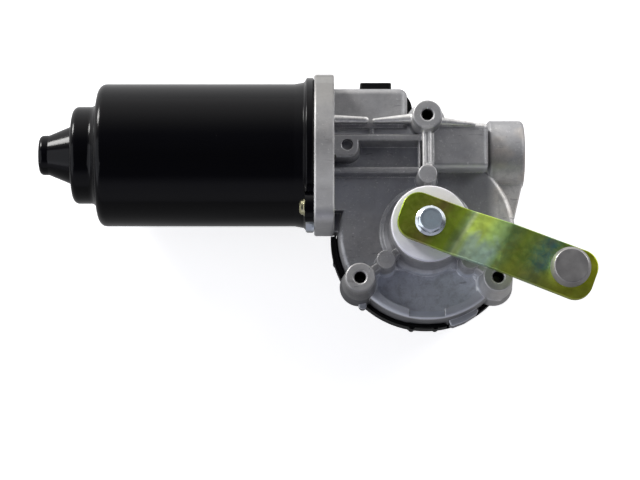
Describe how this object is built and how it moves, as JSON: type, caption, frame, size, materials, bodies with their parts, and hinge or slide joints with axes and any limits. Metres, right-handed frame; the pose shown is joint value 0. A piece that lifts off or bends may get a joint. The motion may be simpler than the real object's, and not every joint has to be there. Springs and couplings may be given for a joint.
{
  "type": "windscreen wiper motor",
  "caption": "Windscreen wiper gearmotor: deep-drawn motor can, cast worm-gear housing with threaded mounting bosses, plastic rear cover with socket, and a crank arm with a ball stud.",
  "frame": {"origin": "on the output shaft's axis, in the plane of the rear cover's back face", "axes": "+Z along the output shaft out of the casting's front face, +X along the motor axis from the can's nose to the end tube, +Y from the output shaft to the motor axis"},
  "size_m": [0.2352, 0.1108, 0.0877],
  "materials": {
    "black_paint": "gloss",
    "cast_alloy": "matte",
    "yellow_zinc": "satin",
    "bright_zinc": "satin",
    "brass_zinc": "satin",
    "bare_steel": "satin",
    "lamination": "matte",
    "ferrite": "matte",
    "bronze": "matte",
    "copper": "satin",
    "carbon": "matte",
    "acetal": "satin",
    "white_plastic": "satin",
    "black_plastic": "satin",
    "phenolic": "matte",
    "nbr": "matte",
    "tin": "satin"
  },
  "bodies": {
    "housing": {"motor_can": "black_paint", "field_magnets": "ferrite", "magnet_springs": "bare_steel", "nose_bush": "bronze", "bush_retainer": "bare_steel", "nose_thrust_pad": "acetal", "bearing_outer_race": "bare_steel", "bearing_retainer": "bare_steel", "brush_card": "phenolic", "brush_guides": "bronze", "gear_housing": "cast_alloy", "can_screws": "brass_zinc", "earth_screw": "bright_zinc", "worm_end_bush": "bronze", "end_thrust_pad": "acetal", "tunnel_plug": "bare_steel", "output_bush_lower": "bronze", "output_bush_upper": "bronze", "shaft_seal": "nbr", "contact_plate": "phenolic", "park_contact_fingers": "copper", "choke_cores": "ferrite", "choke_coils": "copper", "suppressor_capacitor": "phenolic", "rear_cover": "black_plastic", "vent_plug": "nbr", "cover_gasket": "nbr", "cover_screws": "bright_zinc", "connector_socket": "black_plastic", "connector_terminals": "tin", "motor_leads": "nbr"},
    "armature": {"armature_shaft": "bare_steel", "commutator_core": "phenolic", "commutator": "copper", "armature_core": "lamination", "armature_windings": "copper", "armature_spacer": "acetal", "bearing_inner_race": "bare_steel", "bearing_balls": "bare_steel"},
    "output": {"worm_wheel": "acetal", "output_shaft": "bare_steel", "hub_key_plate": "bare_steel", "thrust_washer": "bare_steel", "park_contact_disc": "copper", "shaft_clip": "bare_steel", "shaft_washer": "white_plastic", "crank_arm": "yellow_zinc", "crank_bolt": "bright_zinc", "ball_stud": "bare_steel"},
    "brush_low": {"brush_low": "carbon", "brush_spring_low": "bare_steel"},
    "brush_high": {"brush_high": "carbon", "brush_spring_high": "bare_steel"},
    "brush_common": {"brush_common": "carbon", "brush_spring_common": "bare_steel"}
  },
  "joints": [
    {"name": "output_spin", "type": "hinge", "parent": "housing", "child": "output", "pos_m": [0, 0, 0.05], "axis": [0, 0, 1], "continuous": true},
    {"name": "armature_spin", "type": "hinge", "parent": "housing", "child": "armature", "pos_m": [-0.08, 0.0356, 0.035], "axis": [1, 0, 0], "continuous": true},
    {"name": "brush_low_slide", "type": "slide", "parent": "housing", "child": "brush_low", "axis": [0, 1, 0], "range_m": [0, 0.003], "stiffness_N_per_m": 250, "springref_m": -0.008, "deforming": ["brush_spring_low"]},
    {"name": "brush_common_slide", "type": "slide", "parent": "housing", "child": "brush_common", "axis": [0, -1, 0], "range_m": [0, 0.003], "stiffness_N_per_m": 250, "springref_m": -0.008, "deforming": ["brush_spring_common"]},
    {"name": "brush_high_slide", "type": "slide", "parent": "housing", "child": "brush_high", "axis": [0, 0.5, -0.866], "range_m": [0, 0.003], "stiffness_N_per_m": 250, "springref_m": -0.008, "deforming": ["brush_spring_high"]}
  ],
  "couplings": [
    {"joint": "armature_spin", "follows": "output_spin", "ratio": 54}
  ]
}
